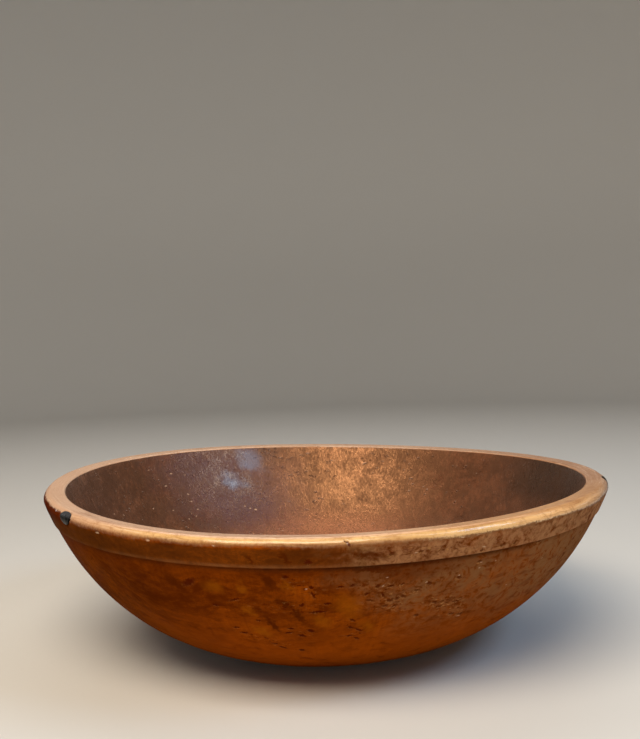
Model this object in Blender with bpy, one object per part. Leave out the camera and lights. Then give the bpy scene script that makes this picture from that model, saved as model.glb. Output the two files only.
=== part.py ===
"""Turned wooden salad bowl: one turned body with a raised rim band, and two dark knots set in its rim."""

import math

import bmesh
import bpy
from mathutils import Matrix, Vector

# Overall sizes of the turning, in metres. The bowl stands on z = 0, its axis is Z and its front faces -Y.
RIM_DIAMETER = 0.457
BOWL_HEIGHT = 0.1306
BASE_DIAMETER = 0.1815
FLOOR_THICKNESS = 0.015

# The rim: a flat top that falls a little to the mouth, a worn round outer corner, and a crisp inner edge.
RIM_WALL = 0.0164
RIM_FALL = 0.0007
RIM_CORNER_RADIUS = 0.0055
MOUTH_EDGE_RADIUS = 0.0020

# The raised band turned on the outside under the rim, which steps in to the wall by two small equal curves.
BAND_HEIGHT = 0.0204
BAND_STEP = 0.0010
BAND_EDGE_RADIUS = 0.0012

# Slopes of the wall from the horizontal: outside at the band, outside at the base, inside at the mouth.
BAND_ANGLE = math.radians(66.5)
BASE_ANGLE = math.radians(11.9)
MOUTH_ANGLE = math.radians(66.0)

# How far each end's slope carries along the wall, as a share of the straight distance between its ends.
OUTER_TOP_FULLNESS = 0.393
OUTER_BASE_FULLNESS = 0.308
INNER_MOUTH_FULLNESS = 0.50
INNER_FLOOR_FULLNESS = 0.50

# The wood has dried unevenly: the rim is longer and higher along the grain than across it, and it leans.
GRAIN_DIRECTION = math.radians(-23.9)
RIM_OVAL = 0.0026
RIM_SADDLE = 0.0029
RIM_LEAN = 0.0035
LEAN_DIRECTION = math.radians(150.3)

# The two knots: direction around the rim, tilt up from the horizontal, size along and across the rim.
LEFT_KNOT_DIRECTION = math.radians(-145.7)
LEFT_KNOT_TILT = math.radians(12.0)
LEFT_KNOT_WIDTH = 0.0195
LEFT_KNOT_HEIGHT = 0.0105
RIGHT_KNOT_DIRECTION = math.radians(-11.6)
RIGHT_KNOT_TILT = math.radians(25.0)
RIGHT_KNOT_WIDTH = 0.0220
RIGHT_KNOT_HEIGHT = 0.0085
KNOT_DEPTH = 0.0075
KNOT_TAPER = 0.65
KNOT_CLEARANCE = 0.0003

# Fineness of the mesh.
TURN_STEPS = 96
OUTER_STEPS = 12
INNER_STEPS = 14
CORNER_STEPS = 6
EDGE_STEPS = 3
KNOT_STEPS = 28

for old in list(bpy.data.objects):
    bpy.data.objects.remove(old, do_unlink=True)


def along(angle, length=1.0):
    """A step of this length in the (radius, height) plane, at an angle up from straight outwards."""
    return Vector((math.cos(angle), math.sin(angle))) * length


def arc(centre, radius, start, end, steps):
    """Points of an arc in the (radius, height) plane, both ends included."""
    turns = [start + (end - start) * i / steps for i in range(steps + 1)]
    return [centre + along(turn, radius) for turn in turns]


def swept_wall(start, start_slope, end, end_slope, start_fullness, end_fullness, steps):
    """Points of one wall curve that leaves its start and reaches its end along the given slopes."""
    span = (end - start).length
    leave = start + start_slope * (span * start_fullness)
    reach = end - end_slope * (span * end_fullness)
    points = []
    for i in range(steps + 1):
        t = i / steps
        u = 1.0 - t
        points.append(start * u**3 + leave * (3 * u * u * t) + reach * (3 * u * t * t) + end * t**3)
    return points


def rim_corner_centre():
    """Centre of the worn round at the rim's outer corner."""
    return Vector((RIM_DIAMETER / 2 - RIM_CORNER_RADIUS, BOWL_HEIGHT - RIM_CORNER_RADIUS))


def outline():
    """The bowl's half section, from the middle of the floor up inside, over the rim and down to the base."""
    quarter = math.pi / 2
    floor = Vector((0.0, FLOOR_THICKNESS))

    mouth = RIM_DIAMETER / 2 - RIM_WALL + MOUTH_EDGE_RADIUS * math.tan(MOUTH_ANGLE / 2)
    mouth_centre = Vector((mouth, BOWL_HEIGHT - RIM_FALL - MOUTH_EDGE_RADIUS))
    mouth_edge = arc(mouth_centre, MOUTH_EDGE_RADIUS, quarter + MOUTH_ANGLE, quarter, EDGE_STEPS)
    inside = swept_wall(
        floor,
        along(0.0),
        mouth_edge[0],
        along(MOUTH_ANGLE),
        INNER_FLOOR_FULLNESS,
        INNER_MOUTH_FULLNESS,
        INNER_STEPS,
    )

    facing = BAND_ANGLE - quarter
    corner = arc(rim_corner_centre(), RIM_CORNER_RADIUS, quarter, facing, CORNER_STEPS)

    # The band's face runs straight down to its lower edge, which rounds off and turns back into the wall.
    turn = math.acos(1.0 - BAND_STEP / (2 * BAND_EDGE_RADIUS))
    face_top = corner[-1]
    edge_height = BOWL_HEIGHT - BAND_HEIGHT
    face_bottom = face_top - along(BAND_ANGLE, (face_top.y - edge_height) / math.sin(BAND_ANGLE))
    round_centre = face_bottom - along(facing, BAND_EDGE_RADIUS)
    lower_edge = arc(round_centre, BAND_EDGE_RADIUS, facing, facing - turn, EDGE_STEPS)
    cove_centre = lower_edge[-1] + along(facing - turn, BAND_EDGE_RADIUS)
    cove = arc(cove_centre, BAND_EDGE_RADIUS, facing - turn + math.pi, facing + math.pi, EDGE_STEPS)

    outside = swept_wall(
        cove[-1],
        -along(BAND_ANGLE),
        Vector((BASE_DIAMETER / 2, 0.0)),
        -along(BASE_ANGLE),
        OUTER_TOP_FULLNESS,
        OUTER_BASE_FULLNESS,
        OUTER_STEPS,
    )
    base_middle = Vector((0.0, 0.0))
    return inside + mouth_edge[1:] + corner + lower_edge + cove[1:] + outside[1:] + [base_middle]


def dried(point):
    """Where a point of the turning has moved as the wood dried: most at the rim, not at all at the base."""
    direction = math.atan2(point.y, point.x)
    share = point.z / BOWL_HEIGHT
    grain = math.cos(2 * (direction - GRAIN_DIRECTION))
    spread = 1.0 + RIM_OVAL / (RIM_DIAMETER / 2) * grain * share
    rise = (RIM_SADDLE * grain + RIM_LEAN * math.cos(direction - LEAN_DIRECTION)) * share**2
    return Vector((point.x * spread, point.y * spread, point.z + rise))


def turned_mesh(name):
    """The bowl as it left the lathe and dried: the half section spun about Z, then moved by the drying."""
    bm = bmesh.new()
    verts = [bm.verts.new((point.x, 0.0, point.y)) for point in outline()]
    for first, second in zip(verts, verts[1:]):
        bm.edges.new((first, second))
    bmesh.ops.spin(
        bm,
        geom=bm.verts[:] + bm.edges[:],
        cent=(0.0, 0.0, 0.0),
        axis=(0.0, 0.0, 1.0),
        angle=2 * math.pi,
        steps=TURN_STEPS,
        use_merge=True,
    )
    bmesh.ops.remove_doubles(bm, verts=bm.verts[:], dist=1e-6)
    bmesh.ops.recalc_face_normals(bm, faces=bm.faces[:])
    for vert in bm.verts:
        vert.co = dried(vert.co)
    mesh = bpy.data.meshes.new(name)
    bm.to_mesh(mesh)
    bm.free()
    return mesh


def knot_mesh(name, direction, tilt, width, height, grow):
    """A tapered oval plug that runs into the rim through its round outer corner."""
    depth = KNOT_DEPTH + grow
    stand_out = RIM_CORNER_RADIUS
    bm = bmesh.new()
    bmesh.ops.create_cone(
        bm,
        cap_ends=True,
        segments=KNOT_STEPS,
        radius1=KNOT_TAPER / 2,
        radius2=0.5,
        depth=depth + stand_out,
    )
    bmesh.ops.translate(bm, verts=bm.verts[:], vec=(0.0, 0.0, (stand_out - depth) / 2))
    bmesh.ops.scale(bm, verts=bm.verts[:], vec=(height + 2 * grow, width + 2 * grow, 1.0))
    corner = rim_corner_centre() + along(tilt, RIM_CORNER_RADIUS)
    turned = Vector((corner.x * math.cos(direction), corner.x * math.sin(direction), corner.y))
    seat = (
        Matrix.Translation(dried(turned))
        @ Matrix.Rotation(direction, 4, "Z")
        @ Matrix.Rotation(math.pi / 2 - tilt, 4, "Y")
    )
    bmesh.ops.transform(bm, matrix=seat, verts=bm.verts[:])
    bmesh.ops.recalc_face_normals(bm, faces=bm.faces[:])
    mesh = bpy.data.meshes.new(name)
    bm.to_mesh(mesh)
    bm.free()
    return mesh


def finish(name, colour, roughness):
    """A plain wood finish."""
    material = bpy.data.materials.new(name)
    material.use_nodes = True
    shader = material.node_tree.nodes["Principled BSDF"]
    shader.inputs["Base Color"].default_value = (*colour, 1.0)
    shader.inputs["Roughness"].default_value = roughness
    shader.inputs["Metallic"].default_value = 0.0
    return material


def place(mesh, material=None):
    """Puts a mesh in the scene under its own name. One without a material only shapes other pieces."""
    piece = bpy.data.objects.new(mesh.name, mesh)
    bpy.context.scene.collection.objects.link(piece)
    if material is None:
        piece.hide_render = True
        piece.display_type = "WIRE"
    else:
        mesh.materials.append(material)
        mesh.shade_smooth()
        mesh.set_sharp_from_angle(angle=math.radians(35.0))
    return piece


def cut(piece, operation, other):
    """Shapes a piece by another one."""
    step = piece.modifiers.new(other.name, "BOOLEAN")
    step.operation = operation
    step.solver = "EXACT"
    step.object = other


waxed_maple = finish("waxed_maple", (0.26, 0.105, 0.030), 0.38)
left_knot_wood = finish("left_knot_wood", (0.020, 0.014, 0.012), 0.18)
right_knot_wood = finish("right_knot_wood", (0.028, 0.017, 0.012), 0.25)

# The turned bowl, with a pocket for each knot.
bowl = place(turned_mesh("bowl"), waxed_maple)

# The form the lathe left, which trims the knots flush with the rim.
turned_form = place(turned_mesh("turned_form"))

# The knots grew in the wood, so each is cut to the rim's own surface and sits in a pocket of its own shape.
left_knot = (LEFT_KNOT_DIRECTION, LEFT_KNOT_TILT, LEFT_KNOT_WIDTH, LEFT_KNOT_HEIGHT)
right_knot = (RIGHT_KNOT_DIRECTION, RIGHT_KNOT_TILT, RIGHT_KNOT_WIDTH, RIGHT_KNOT_HEIGHT)
for name, shape, wood in (
    ("rim_knot_left", left_knot, left_knot_wood),
    ("rim_knot_right", right_knot, right_knot_wood),
):
    pocket = place(knot_mesh(name + "_pocket", *shape, KNOT_CLEARANCE))
    cut(bowl, "DIFFERENCE", pocket)
    knot = place(knot_mesh(name, *shape, 0.0), wood)
    cut(knot, "INTERSECT", turned_form)
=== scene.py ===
"""Looks of a turned wooden salad bowl: its fine mesh, its woods, its old wax and the studio around it."""

import math

import bpy
import numpy as np
from mathutils import Matrix, Vector, noise


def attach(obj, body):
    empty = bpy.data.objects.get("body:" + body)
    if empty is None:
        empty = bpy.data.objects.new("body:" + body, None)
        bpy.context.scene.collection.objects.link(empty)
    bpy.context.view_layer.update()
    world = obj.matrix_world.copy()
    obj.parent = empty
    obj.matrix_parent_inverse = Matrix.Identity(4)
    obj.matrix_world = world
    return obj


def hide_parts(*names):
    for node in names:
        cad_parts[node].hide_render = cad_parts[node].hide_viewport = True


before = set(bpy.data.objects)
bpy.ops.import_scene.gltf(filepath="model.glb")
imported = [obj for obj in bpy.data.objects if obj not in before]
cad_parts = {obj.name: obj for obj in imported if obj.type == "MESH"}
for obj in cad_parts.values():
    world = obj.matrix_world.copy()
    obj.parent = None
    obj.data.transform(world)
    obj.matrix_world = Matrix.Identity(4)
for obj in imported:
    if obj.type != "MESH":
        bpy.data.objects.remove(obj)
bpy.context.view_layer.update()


# The camera stands where the photograph was taken from and looks slightly down at the bowl. It comes first,
# because the marks in the wood are placed by the pixels at which the photograph shows them.

PHOTO_WIDTH = 640.0
PHOTO_HEIGHT = 739.0
PHOTO_FOCUS = 1000.0
SENSOR_WIDTH = 36.0
NEAREST_SEEN = 0.01
CAMERA_BACK = 0.84065
CAMERA_UP = 0.26153
CAMERA_PAN = math.radians(-0.033)
CAMERA_PITCH = math.radians(2.776)
CAMERA_ROLL = math.radians(-1.911)

camera_data = bpy.data.cameras.new("photo_camera")
camera_data.sensor_width = SENSOR_WIDTH
camera_data.lens = PHOTO_FOCUS / PHOTO_HEIGHT * SENSOR_WIDTH
camera_data.clip_start = NEAREST_SEEN
camera = bpy.data.objects.new("photo_camera", camera_data)
camera.matrix_world = (
    Matrix.Translation((0.0, -CAMERA_BACK, CAMERA_UP))
    @ Matrix.Rotation(-CAMERA_PAN, 4, "Z")
    @ Matrix.Rotation(math.pi / 2 - CAMERA_PITCH, 4, "X")
    @ Matrix.Rotation(CAMERA_ROLL, 4, "Z")
)
bpy.context.scene.collection.objects.link(camera)
bpy.context.scene.camera = camera
bpy.context.scene.view_settings.view_transform = "Standard"


# The bowl is one block of bird's-eye maple, turned and hollowed on a lathe, so base, wall, rim and the raised
# band under the rim are one piece. It has dried out of true, and its rim is nicked and worn bare by hands.

RIM_RADIUS = 0.2285
BOWL_HEIGHT = 0.1306
BASE_RADIUS = 0.09075
FLOOR_THICKNESS = 0.015
RIM_WALL = 0.0164
RIM_FALL = 0.0007
RIM_CORNER_RADIUS = 0.0055
MOUTH_EDGE_RADIUS = 0.0020
BAND_HEIGHT = 0.0204
BAND_STEP = 0.0010
BAND_EDGE_RADIUS = 0.0012
BAND_ANGLE = math.radians(66.5)
BASE_ANGLE = math.radians(11.9)
MOUTH_ANGLE = math.radians(66.0)
GRAIN_DIRECTION = math.radians(-23.9)
RIM_OVAL = 0.0026
RIM_SADDLE = 0.0029
RIM_LEAN = 0.0035
LEAN_DIRECTION = math.radians(150.3)

# How far each end's slope carries along the wall, as a share of the straight distance between its ends.
INSIDE_FULLNESS = 0.50
BAND_FULLNESS = 0.393
BASE_FULLNESS = 0.308

# Fineness of the section: steps in each curve, and points in each straight stretch.
EDGE_STEPS = 5
CORNER_STEPS = 18
INSIDE_STEPS = 60
OUTSIDE_STEPS = 50
FLAT_POINTS = 7
FACE_POINTS = 15
BASE_POINTS = 8


def along(angle, length=1.0):
    """A step of this length in the (radius, height) plane, at an angle up from straight outwards."""
    return np.array((math.cos(angle), math.sin(angle))) * length


def arc(centre, radius, start, end, steps):
    """Points of an arc in the (radius, height) plane, both ends included."""
    return [centre + along(turn, radius) for turn in np.linspace(start, end, steps + 1)]


def wall_curve(start, start_slope, end, end_slope, start_fullness, end_fullness, steps):
    """Points of one wall curve that leaves its start and reaches its end along the given slopes."""
    span = np.linalg.norm(end - start)
    leave = start + start_slope * (span * start_fullness)
    reach = end - end_slope * (span * end_fullness)
    t = np.linspace(0.0, 1.0, steps + 1)[:, None]
    u = 1.0 - t
    return list(start * u**3 + leave * (3 * u * u * t) + reach * (3 * u * t * t) + end * t**3)


def bowl_section():
    """The half section, as named stretches from the middle of the floor to the middle of the base."""
    quarter = math.pi / 2
    mouth = RIM_RADIUS - RIM_WALL + MOUTH_EDGE_RADIUS * math.tan(MOUTH_ANGLE / 2)
    mouth_centre = np.array((mouth, BOWL_HEIGHT - RIM_FALL - MOUTH_EDGE_RADIUS))
    mouth_edge = arc(mouth_centre, MOUTH_EDGE_RADIUS, quarter + MOUTH_ANGLE, quarter, EDGE_STEPS)
    floor_middle = np.array((0.0, FLOOR_THICKNESS))
    inside = wall_curve(
        floor_middle,
        along(0.0),
        mouth_edge[0],
        along(MOUTH_ANGLE),
        INSIDE_FULLNESS,
        INSIDE_FULLNESS,
        INSIDE_STEPS,
    )

    facing = BAND_ANGLE - quarter
    corner_centre = np.array((RIM_RADIUS - RIM_CORNER_RADIUS, BOWL_HEIGHT - RIM_CORNER_RADIUS))
    corner = arc(corner_centre, RIM_CORNER_RADIUS, quarter, facing, CORNER_STEPS)
    flat_top = list(np.linspace(mouth_edge[-1], corner[0], FLAT_POINTS))

    turn = math.acos(1.0 - BAND_STEP / (2 * BAND_EDGE_RADIUS))
    face_length = (corner[-1][1] - BOWL_HEIGHT + BAND_HEIGHT) / math.sin(BAND_ANGLE)
    face_end = corner[-1] - along(BAND_ANGLE, face_length)
    face = list(np.linspace(corner[-1], face_end, FACE_POINTS))
    round_centre = face[-1] - along(facing, BAND_EDGE_RADIUS)
    lower_edge = arc(round_centre, BAND_EDGE_RADIUS, facing, facing - turn, EDGE_STEPS)
    cove_centre = lower_edge[-1] + along(facing - turn, BAND_EDGE_RADIUS)
    cove = arc(cove_centre, BAND_EDGE_RADIUS, facing - turn + math.pi, facing + math.pi, EDGE_STEPS)

    base_edge = np.array((BASE_RADIUS, 0.0))
    outside = wall_curve(
        cove[-1],
        -along(BAND_ANGLE),
        base_edge,
        -along(BASE_ANGLE),
        BAND_FULLNESS,
        BASE_FULLNESS,
        OUTSIDE_STEPS,
    )
    base = list(np.linspace(base_edge, (0.0, 0.0), BASE_POINTS))
    return {
        "inside": inside,
        "mouth_edge": mouth_edge,
        "flat_top": flat_top,
        "corner": corner,
        "face": face,
        "lower_edge": lower_edge,
        "cove": cove,
        "outside": outside,
        "base": base,
    }


section_points = []
section_marks = {}
for stretch, points in bowl_section().items():
    first_new = 0 if not section_points else 1
    section_points.extend(points[first_new:])
    section_marks[stretch] = len(section_points) - 1
section_points = np.array(section_points)
section_steps = np.diff(section_points, axis=0)
section_lengths = np.concatenate(([0.0], np.cumsum(np.hypot(section_steps[:, 0], section_steps[:, 1]))))
section_slopes = np.gradient(section_points, section_lengths, axis=0)
section_slopes /= np.linalg.norm(section_slopes, axis=1)[:, None]
MOUTH_START = section_lengths[section_marks["inside"]]
CORNER_START = section_lengths[section_marks["flat_top"]]
CORNER_END = section_lengths[section_marks["corner"]]
BAND_END = section_lengths[section_marks["lower_edge"]]
WALL_END = section_lengths[section_marks["outside"]]
UNDER_BAND = BAND_END - CORNER_START


def turned_point(right_of_front, distance, lift=0.0):
    """The dried surface at an angle right of the front and a distance along the section, lifted off it."""
    radius = np.interp(distance, section_lengths, section_points[:, 0])
    height = np.interp(distance, section_lengths, section_points[:, 1])
    slope_out = np.interp(distance, section_lengths, section_slopes[:, 0])
    slope_up = np.interp(distance, section_lengths, section_slopes[:, 1])
    radius = radius - slope_up * lift
    height = height + slope_out * lift
    direction = right_of_front - math.pi / 2
    share = height / BOWL_HEIGHT
    grain = np.cos(2 * (direction - GRAIN_DIRECTION))
    radius = radius * (1.0 + RIM_OVAL / RIM_RADIUS * grain * share)
    rise = (RIM_SADDLE * grain + RIM_LEAN * np.cos(direction - LEAN_DIRECTION)) * share**2
    return np.stack((radius * np.cos(direction), radius * np.sin(direction), height + rise), axis=-1)


def photo_grid(angles, distances):
    """The pixels at which the photograph shows the places at all the angles and distances given."""
    angle_grid, distance_grid = np.meshgrid(angles, distances, indexing="ij")
    to_camera = np.array(camera.matrix_world.inverted())
    seen = turned_point(angle_grid, distance_grid) @ to_camera[:3, :3].T + to_camera[:3, 3]
    across = PHOTO_WIDTH / 2 - PHOTO_FOCUS * seen[..., 0] / seen[..., 2]
    down = PHOTO_HEIGHT / 2 + PHOTO_FOCUS * seen[..., 1] / seen[..., 2]
    return angle_grid, distance_grid - CORNER_START, across, down


outside_angles = np.radians(np.arange(-80.0, 85.0, 0.1))
outside_distances = np.arange(CORNER_START, WALL_END, 0.00025)
OUTSIDE_SEEN = photo_grid(outside_angles, outside_distances)
inside_angles = np.radians(np.arange(100.0, 260.0, 0.2))
inside_distances = np.arange(0.05, MOUTH_START, 0.0005)
INSIDE_SEEN = photo_grid(inside_angles, inside_distances)


def photo_place(grid, x, y):
    """The angle right of the front, and the distance past the rim corner's start, of what a pixel shows."""
    angle_grid, past_corner, across, down = grid
    nearest = np.argmin(np.hypot(across - x, down - y))
    angle = (angle_grid.flat[nearest] + math.pi) % (2 * math.pi) - math.pi
    return float(angle), float(past_corner.flat[nearest])


# Nicks of the rim: the pixel, then width, height and depth in millimetres.
RIM_NICKS = [
    (*photo_place(OUTSIDE_SEEN, x, y), width / 1000, height / 1000, depth / 1000, 0.0)
    for x, y, width, height, depth in (
        (97.0, 532.0, 4.5, 1.8, 0.5),
        (147.0, 540.0, 5.0, 2.0, 0.6),
        (213.0, 546.0, 3.0, 1.6, 0.4),
        (347.0, 542.0, 3.0, 4.5, 0.7),
        (361.0, 546.0, 2.6, 1.6, 0.4),
        (462.0, 537.0, 3.2, 1.6, 0.5),
    )
]

# Knots of the rim: angle right of the front, distance past the start of the corner, width, height, depth of
# the pocket that shows, and how much the oval narrows towards its lower end.
KNOT_CLEARANCE = 0.0003
RIM_KNOTS = {
    "rim_knot_left": (math.radians(-55.7), 0.0073, 0.0195, 0.0122, 0.0022, 0.30),
    "rim_knot_right": (math.radians(78.4), 0.0062, 0.0220, 0.0097, 0.0022, 0.10),
}


def turn_angles():
    """Angles right of the front for the mesh's columns, closest together where nicks and knots are."""
    plain_step = math.radians(0.70)
    fine_step = math.radians(0.13)
    growth = 0.30
    spots = [(mark[0], mark[2] / 2 / RIM_RADIUS) for mark in (*RIM_NICKS, *RIM_KNOTS.values())]
    angles = [-math.pi]
    while angles[-1] < math.pi:
        nearest = min(abs(abs(angles[-1] - spot) - half) for spot, half in spots)
        angles.append(angles[-1] + min(plain_step, fine_step + growth * nearest))
    angles = np.array(angles)
    return -math.pi + (angles + math.pi) * (2 * math.pi / (angles[-1] + math.pi))


def smooth(value, low, high):
    """0 below low, 1 above high, and a soft step between them."""
    t = np.clip((value - low) / (high - low), 0.0, 1.0)
    return t * t * (3.0 - 2.0 * t)


def mark_reach(angles, distances, mark, grow=0.0):
    """How far each surface point is from the middle of a mark, where 1 is the mark's edge."""
    angle, past_corner, width, height, _, narrows = mark
    down = (distances - CORNER_START - past_corner) / (height / 2 + grow)
    across = (angles - angle) * RIM_RADIUS / (width / 2 + grow)
    return np.hypot(across / (1.0 - narrows * np.clip(down, 0.0, 1.0)), down)


# Slow waves and finer ripples that the hand-held tool left, and uneven wear on the corner, with their scales.
WAVE_HEIGHT, WAVE_SCALE = 0.00016, 22.0
RIPPLE_HEIGHT, RIPPLE_SCALE = 0.00005, 90.0
CORNER_WEAR, WEAR_SCALE = 0.0005, 45.0

# Distances past the corner's start, down the inside, between which the drum of the finish closes in over the
# floor, and how far to each side of the base's edge it closes in over the base.
FLOOR_CLOSING = (0.08, 0.14)
BASE_CLOSING = 0.02

# The pale ridge on the band's lower edge, partly a painted highlight, and the cove under it, darkened by
# painted
# # shadow: how far from the edge, and how wide.
RIDGE_ABOVE, RIDGE_WIDTH = 0.0012, 0.0017
COVE_BELOW, COVE_WIDTH = 0.0016, 0.0011


def bowl_mesh():
    """The fine surface of the bowl, with attributes that say where its finish is worn or dirty."""
    columns = turn_angles()[:-1]
    distances = section_lengths[1:-1]
    angle_grid, distance_grid = np.meshgrid(columns, distances, indexing="ij")
    plain = turned_point(angle_grid, distance_grid)

    # The waves are all over but the base, and the rim's round corner is worn more in some places.
    lift = np.empty(angle_grid.shape)
    for index in np.ndindex(lift.shape):
        place = Vector(plain[index])
        lift[index] = WAVE_HEIGHT * noise.noise(place * WAVE_SCALE)
        lift[index] += RIPPLE_HEIGHT * noise.noise(place * RIPPLE_SCALE)
    lift *= 1.0 - smooth(distance_grid, WALL_END - 0.025, WALL_END - 0.005)
    on_corner = smooth(distance_grid, CORNER_START + 0.001, CORNER_START + 0.004)
    on_corner *= 1.0 - smooth(distance_grid, CORNER_END, CORNER_END + 0.003)
    for index, amount in np.ndenumerate(on_corner):
        if amount > 0.01:
            lift[index] -= CORNER_WEAR * amount * (0.5 + noise.noise(Vector(plain[index]) * WEAR_SCALE))
    for mark in RIM_NICKS:
        reach = mark_reach(angle_grid, distance_grid, mark)
        lift -= mark[4] * (1.0 - smooth(reach, 0.2, 1.0))
    for mark in RIM_KNOTS.values():
        reach = mark_reach(angle_grid, distance_grid, mark, KNOT_CLEARANCE)
        lift -= mark[4] * (1.0 - smooth(reach, 0.93, 1.0))

    rows, count = len(distances), len(columns)
    verts = np.vstack((
        turned_point(angle_grid, distance_grid, lift).reshape(-1, 3),
        ((0.0, 0.0, FLOOR_THICKNESS), (0.0, 0.0, 0.0)),
    ))
    starts = np.arange(count) * rows
    next_starts = np.roll(starts, -1)
    steps_down = np.arange(rows - 1)[None]
    here, beside = starts[:, None] + steps_down, next_starts[:, None] + steps_down
    quads = np.stack((here, here + 1, beside + 1, beside), axis=-1).reshape(-1, 4)
    floor_fan = [(start, after, len(verts) - 2) for start, after in zip(starts, next_starts)]
    last = rows - 1
    base_fan = [(after + last, start + last, len(verts) - 1) for start, after in zip(starts, next_starts)]
    mesh = bpy.data.meshes.new("bowl_turned")
    mesh.from_pydata(verts.tolist(), [], quads.tolist() + floor_fan + base_fan)

    # A map of the bowl unrolled, in metres: the way round at the rim, and how far past the corner's start.
    # The faces that close the ring run on past its end.
    loop_verts = np.empty(len(mesh.loops), np.int32)
    mesh.loops.foreach_get("vertex_index", loop_verts)
    all_angles = np.append(angle_grid.reshape(-1), (0.0, 0.0))
    past_corner = np.append(distance_grid.reshape(-1), (0.0, section_lengths[-1])) - CORNER_START
    around = all_angles[loop_verts] * RIM_RADIUS
    closing = np.arange(len(loop_verts)) // 4 >= (count - 1) * (rows - 1)
    closing &= np.arange(len(loop_verts)) < 4 * count * (rows - 1)
    around[closing & (loop_verts < rows)] += 2 * math.pi * RIM_RADIUS
    unrolled = np.stack((around, past_corner[loop_verts]), axis=-1)
    mesh.uv_layers.new(name="unrolled").data.foreach_set("uv", unrolled.astype(np.float32).reshape(-1))

    # The same places on a drum as wide as the rim. It has no seam, and closes in over the floor and the base.
    base_edge = WALL_END - CORNER_START
    closed = smooth(-past_corner, *FLOOR_CLOSING)
    closed += smooth(past_corner, base_edge - BASE_CLOSING, base_edge + BASE_CLOSING)
    drum_radius = RIM_RADIUS + (np.hypot(verts[:, 0], verts[:, 1]) - RIM_RADIUS) * closed
    drum_x = np.cos(all_angles) * drum_radius
    drum_y = np.sin(all_angles) * drum_radius
    drum = np.stack((drum_x, drum_y, past_corner), axis=-1)
    drum_place = mesh.attributes.new("drum_place", "FLOAT_VECTOR", "POINT")
    drum_place.data.foreach_set("vector", drum.astype(np.float32).reshape(-1))

    # Masks of the rim's bare wood and its round corner, of the ridge and the cove at the band's edge, and of
    # the band.
    corner_length = CORNER_END - CORNER_START
    mouth = MOUTH_START - CORNER_START
    masks = {
        "bare": smooth(past_corner, mouth - 0.001, mouth + 0.001)
        * (1.0 - smooth(past_corner, corner_length * 0.35, corner_length * 1.10)),
        "corner": smooth(past_corner, 0.0, corner_length * 0.9),
        "ridge": np.exp(-(((past_corner - UNDER_BAND + RIDGE_ABOVE) / RIDGE_WIDTH) ** 2)),
        "cove": np.exp(-(((past_corner - UNDER_BAND - COVE_BELOW) / COVE_WIDTH) ** 2)),
        "band": smooth(past_corner, corner_length * 0.8, corner_length * 1.1)
        * (1.0 - smooth(past_corner, UNDER_BAND - 0.0005, UNDER_BAND + 0.0010)),
    }
    for name, values in masks.items():
        mesh.attributes.new(name, "FLOAT", "POINT").data.foreach_set("value", values.astype(np.float32))

    # The faces from the middle of the floor up to the mouth take the inside's finish, the second slot.
    slots = np.zeros(len(mesh.polygons), np.int32)
    slots[: count * (rows - 1)] = np.tile(np.arange(rows - 1) < section_marks["inside"] - 1, count)
    slots[count * (rows - 1): count * rows] = 1
    mesh.polygons.foreach_set("material_index", slots)
    mesh.shade_smooth()
    return mesh


class Wiring:
    """Places nodes in one tree and joins them up."""

    def __init__(self, tree):
        self.tree = tree

    def feed(self, made, inputs):
        """Gives a node its inputs, each as a value or as another node's output."""
        for name, value in inputs.items():
            if isinstance(value, bpy.types.NodeSocket):
                self.tree.links.new(value, made.inputs[name])
            else:
                made.inputs[name].default_value = value

    def node(self, kind, inputs=None, **settings):
        """A node with its settings and its inputs."""
        made = self.tree.nodes.new(kind)
        for name, value in settings.items():
            setattr(made, name, value)
        self.feed(made, inputs or {})
        return made

    def math(self, operation, first, second=0.0):
        return self.node("ShaderNodeMath", {0: first, 1: second}, operation=operation).outputs[0]

    def plus(self, first, second):
        return self.math("ADD", first, second)

    def minus(self, first, second):
        return self.math("SUBTRACT", first, second)

    def times(self, product, *others):
        for other in others:
            product = self.math("MULTIPLY", product, other)
        return product

    def vector(self, operation, first, second):
        return self.node("ShaderNodeVectorMath", {0: first, 1: second}, operation=operation).outputs[0]

    def step(self, value, low, high, bottom=0.0, top=1.0):
        """A soft step of value from low to high, put out from bottom to top."""
        inputs = {"Value": value, "From Min": low, "From Max": high, "To Min": bottom, "To Max": top}
        return self.node("ShaderNodeMapRange", inputs, interpolation_type="SMOOTHSTEP").outputs["Result"]

    def between(self, value, rise, fall):
        """A mask that comes and goes along a value by two soft steps."""
        return self.times(self.step(value, *rise), self.step(value, *fall))

    def mix(self, factor, first, second, blend="MIX"):
        """One colour laid over another, each as red, green and blue or as a node's output."""
        made = self.node("ShaderNodeMix", data_type="RGBA", blend_type=blend, clamp_factor=True)
        under, over = [(*value, 1.0) if isinstance(value, tuple) else value for value in (first, second)]
        self.feed(made, {0: factor, 6: under, 7: over})
        return made.outputs[2]

    def stretch(self, vector, scale, turn=0.0):
        """A vector scaled and then turned about Z."""
        inputs = {"Vector": vector, "Scale": scale, "Rotation": (0.0, 0.0, turn)}
        return self.node("ShaderNodeMapping", inputs).outputs["Vector"]

    def cloud(self, vector, scale, detail=2.0, rough=0.5):
        """Smooth noise from about 0 to 1."""
        inputs = {"Vector": vector, "Scale": scale, "Detail": detail, "Roughness": rough}
        return self.node("ShaderNodeTexNoise", inputs).outputs["Fac"]

    def shake(self, vector, scale, amount):
        """A vector moved about at random by up to half the amount each way."""
        inputs = {"Vector": vector, "Scale": scale, "Detail": 2.0}
        random = self.node("ShaderNodeTexNoise", inputs).outputs["Color"]
        centred = self.vector("SUBTRACT", random, (0.5, 0.5, 0.5))
        return self.vector("ADD", vector, self.vector("MULTIPLY", centred, (amount, amount, amount)))

    def mask(self, name):
        """One of the masks that the bowl's mesh carries."""
        return self.node("ShaderNodeAttribute", attribute_name=name).outputs["Fac"]


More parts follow.
